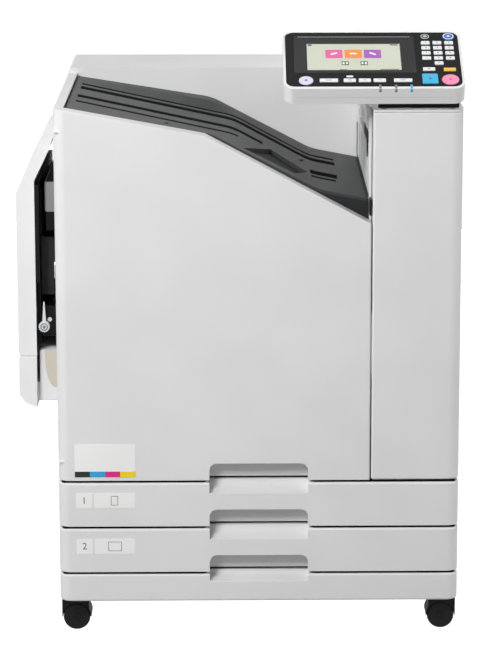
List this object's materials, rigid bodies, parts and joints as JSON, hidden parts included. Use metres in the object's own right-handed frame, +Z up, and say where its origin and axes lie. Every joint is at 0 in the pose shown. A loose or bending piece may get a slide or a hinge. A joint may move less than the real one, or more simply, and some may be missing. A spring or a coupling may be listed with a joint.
{
  "type": "multifunction printer",
  "caption": "Floor-standing colour multifunction printer with pull-out paper cassettes, swing front door, folding side feed tray, top output tray and tilting operation panel.",
  "frame": {"origin": "on the floor, under the middle of the whole footprint with the side feed tray folded up", "axes": "+Z up, +Y from the front face to the back, +X to the right seen from the front"},
  "size_m": [0.816, 0.725, 1.1136],
  "materials": {
    "pale_moulding": "fine-textured moulded plastic",
    "dark_moulding": "dark grey moulded plastic",
    "black_moulding": "black moulded plastic",
    "zinc_steel": "zinc-plated sheet steel",
    "rubber": "matt roller rubber",
    "panel_black": "satin black panel face",
    "display_glass": "display window",
    "key_white": "white key caps",
    "key_cyan": "cyan key cap",
    "key_pink": "pink key cap",
    "board_green": "coated circuit board",
    "ink_black": "ink cartridge casing"
  },
  "bodies": {
    "root": {"base_frame": "zinc_steel", "base_skirt": "pale_moulding", "left_side_plate": "zinc_steel", "tower_side_plates": "zinc_steel", "cassette_divider": "zinc_steel", "engine_deck": "zinc_steel", "left_cover": "pale_moulding", "right_cover": "pale_moulding", "rear_cover": "pale_moulding", "rear_housing": "pale_moulding", "tower_cover": "pale_moulding", "tower_cap": "pale_moulding", "exit_guide": "pale_moulding", "output_tray": "dark_moulding", "hinge_arms": "zinc_steel", "print_heads": "dark_moulding", "belt_platen": "zinc_steel", "transport_belt": "black_moulding", "ink_rack": "dark_moulding", "ink_cartridges": "ink_black", "feed_housing": "black_moulding", "feed_lower_cover": "pale_moulding", "power_supply": "zinc_steel", "control_board": "board_green", "power_inlet": "black_moulding"},
    "front_door": {"front_door": "pale_moulding", "door_liner": "pale_moulding"},
    "feed_tray": {"feed_tray_cover": "pale_moulding", "feed_tray_bed": "black_moulding"},
    "guide_front": {"paper_guide_front": "dark_moulding"},
    "guide_rear": {"paper_guide_rear": "dark_moulding"},
    "release_lever": {"guide_lever": "zinc_steel"},
    "feed_roller": {"feed_roller": "rubber"},
    "cassette_1": {"cassette_1_front": "pale_moulding", "cassette_1_bin": "zinc_steel"},
    "lift_1": {"cassette_1_lift_plate": "dark_moulding"},
    "cassette_2": {"cassette_2_front": "pale_moulding", "cassette_2_bin": "zinc_steel"},
    "lift_2": {"cassette_2_lift_plate": "dark_moulding"},
    "pickup_1": {"pickup_roller_1": "rubber"},
    "pickup_2": {"pickup_roller_2": "rubber"},
    "exit_roller": {"exit_roller": "rubber"},
    "belt_roller": {"belt_roller": "rubber"},
    "fan": {"fan_rotor": "black_moulding"},
    "rocker": {"power_switch": "black_moulding"},
    "panel": {"panel_case": "pale_moulding", "panel_face": "panel_black", "touch_screen": "display_glass"},
    "numeric_keys": {"numeric_keys": "key_white"},
    "function_keys": {"function_keys": "key_white"},
    "start_key": {"start_key": "key_cyan"},
    "stop_key": {"stop_key": "key_pink"},
    "fork_fl": {"castor_fork_fl": "black_moulding"},
    "wheels_fl": {"castor_wheels_fl": "rubber"},
    "fork_fr": {"castor_fork_fr": "black_moulding"},
    "wheels_fr": {"castor_wheels_fr": "rubber"},
    "fork_rl": {"castor_fork_rl": "black_moulding"},
    "wheels_rl": {"castor_wheels_rl": "rubber"},
    "fork_rr": {"castor_fork_rr": "black_moulding"},
    "wheels_rr": {"castor_wheels_rr": "rubber"}
  },
  "joints": [
    {"name": "door_swing", "type": "hinge", "parent": "root", "child": "front_door", "pos_m": [-0.322, -0.3175, 0.6], "axis": [0, 0, -1], "range_deg": [0, 105]},
    {"name": "feed_tray_fold", "type": "hinge", "parent": "root", "child": "feed_tray", "pos_m": [-0.4, -0.0375, 0.521], "axis": [0, -1, 0], "range_deg": [0, 90]},
    {"name": "guide_front_slide", "type": "slide", "parent": "feed_tray", "child": "guide_front", "axis": [0, 1, 0], "range_m": [0, 0.1]},
    {"name": "guide_rear_slide", "type": "slide", "parent": "feed_tray", "child": "guide_rear", "axis": [0, 1, 0], "range_m": [-0.1, 0]},
    {"name": "release_lever_turn", "type": "hinge", "parent": "root", "child": "release_lever", "pos_m": [-0.36, -0.2255, 0.567], "axis": [0, 1, 0], "range_deg": [-20, 20]},
    {"name": "feed_roller_spin", "type": "hinge", "parent": "root", "child": "feed_roller", "pos_m": [-0.35, -0.0375, 0.579], "axis": [0, 1, 0], "continuous": true},
    {"name": "cassette_1_pull", "type": "slide", "parent": "root", "child": "cassette_1", "axis": [0, -1, 0], "range_m": [0, 0.35]},
    {"name": "lift_1_rise", "type": "hinge", "parent": "cassette_1", "child": "lift_1", "pos_m": [-0.0425, -0.1085, 0.2243], "axis": [0, -1, 0], "range_deg": [0, 7]},
    {"name": "cassette_2_pull", "type": "slide", "parent": "root", "child": "cassette_2", "axis": [0, -1, 0], "range_m": [0, 0.35]},
    {"name": "lift_2_rise", "type": "hinge", "parent": "cassette_2", "child": "lift_2", "pos_m": [-0.0425, -0.1085, 0.1363], "axis": [0, -1, 0], "range_deg": [0, 7]},
    {"name": "pickup_1_spin", "type": "hinge", "parent": "root", "child": "pickup_1", "pos_m": [0.188, -0.1175, 0.28], "axis": [0, 1, 0], "continuous": true},
    {"name": "pickup_2_spin", "type": "hinge", "parent": "root", "child": "pickup_2", "pos_m": [0.188, -0.1175, 0.192], "axis": [0, 1, 0], "continuous": true},
    {"name": "exit_roller_spin", "type": "hinge", "parent": "root", "child": "exit_roller", "pos_m": [0.261, -0.0575, 0.9], "axis": [0, 1, 0], "continuous": true},
    {"name": "belt_roller_spin", "type": "hinge", "parent": "root", "child": "belt_roller", "pos_m": [0.196, -0.0775, 0.486], "axis": [0, 1, 0], "continuous": true},
    {"name": "fan_spin", "type": "hinge", "parent": "root", "child": "fan", "pos_m": [-0.189, 0.3395, 0.157], "axis": [0, 1, 0], "continuous": true},
    {"name": "switch_rock", "type": "hinge", "parent": "root", "child": "rocker", "pos_m": [0.28, 0.3565, 0.157], "axis": [1, 0, 0], "range_deg": [-8, 8]},
    {"name": "panel_tilt", "type": "hinge", "parent": "root", "child": "panel", "pos_m": [0.3265, -0.3115, 1.006], "axis": [1, 0, 0], "range_deg": [-27, 15]},
    {"name": "numeric_press", "type": "slide", "parent": "panel", "child": "numeric_keys", "axis": [0, 0.454, -0.891], "range_m": [0, 0.001], "stiffness_N_per_m": 1500, "springref_m": -0.001},
    {"name": "function_press", "type": "slide", "parent": "panel", "child": "function_keys", "axis": [0, 0.454, -0.891], "range_m": [0, 0.001], "stiffness_N_per_m": 1500, "springref_m": -0.001},
    {"name": "start_press", "type": "slide", "parent": "panel", "child": "start_key", "axis": [0, 0.454, -0.891], "range_m": [0, 0.001], "stiffness_N_per_m": 500, "springref_m": -0.001},
    {"name": "stop_press", "type": "slide", "parent": "panel", "child": "stop_key", "axis": [0, 0.454, -0.891], "range_m": [0, 0.001], "stiffness_N_per_m": 500, "springref_m": -0.001},
    {"name": "swivel_fl", "type": "hinge", "parent": "root", "child": "fork_fl", "pos_m": [-0.289, -0.2775, 0.067], "axis": [0, 0, 1], "continuous": true},
    {"name": "roll_fl", "type": "hinge", "parent": "fork_fl", "child": "wheels_fl", "pos_m": [-0.303, -0.2775, 0.025], "axis": [0, 1, 0], "continuous": true},
    {"name": "swivel_fr", "type": "hinge", "parent": "root", "child": "fork_fr", "pos_m": [0.365, -0.2775, 0.067], "axis": [0, 0, 1], "continuous": true},
    {"name": "roll_fr", "type": "hinge", "parent": "fork_fr", "child": "wheels_fr", "pos_m": [0.379, -0.2775, 0.025], "axis": [0, 1, 0], "continuous": true},
    {"name": "swivel_rl", "type": "hinge", "parent": "root", "child": "fork_rl", "pos_m": [-0.289, 0.3025, 0.067], "axis": [0, 0, 1], "continuous": true},
    {"name": "roll_rl", "type": "hinge", "parent": "fork_rl", "child": "wheels_rl", "pos_m": [-0.303, 0.3025, 0.025], "axis": [0, 1, 0], "continuous": true},
    {"name": "swivel_rr", "type": "hinge", "parent": "root", "child": "fork_rr", "pos_m": [0.365, 0.3025, 0.067], "axis": [0, 0, 1], "continuous": true},
    {"name": "roll_rr", "type": "hinge", "parent": "fork_rr", "child": "wheels_rr", "pos_m": [0.379, 0.3025, 0.025], "axis": [0, 1, 0], "continuous": true}
  ],
  "couplings": [
    {"joint": "guide_rear_slide", "follows": "guide_front_slide", "ratio": -1}
  ]
}
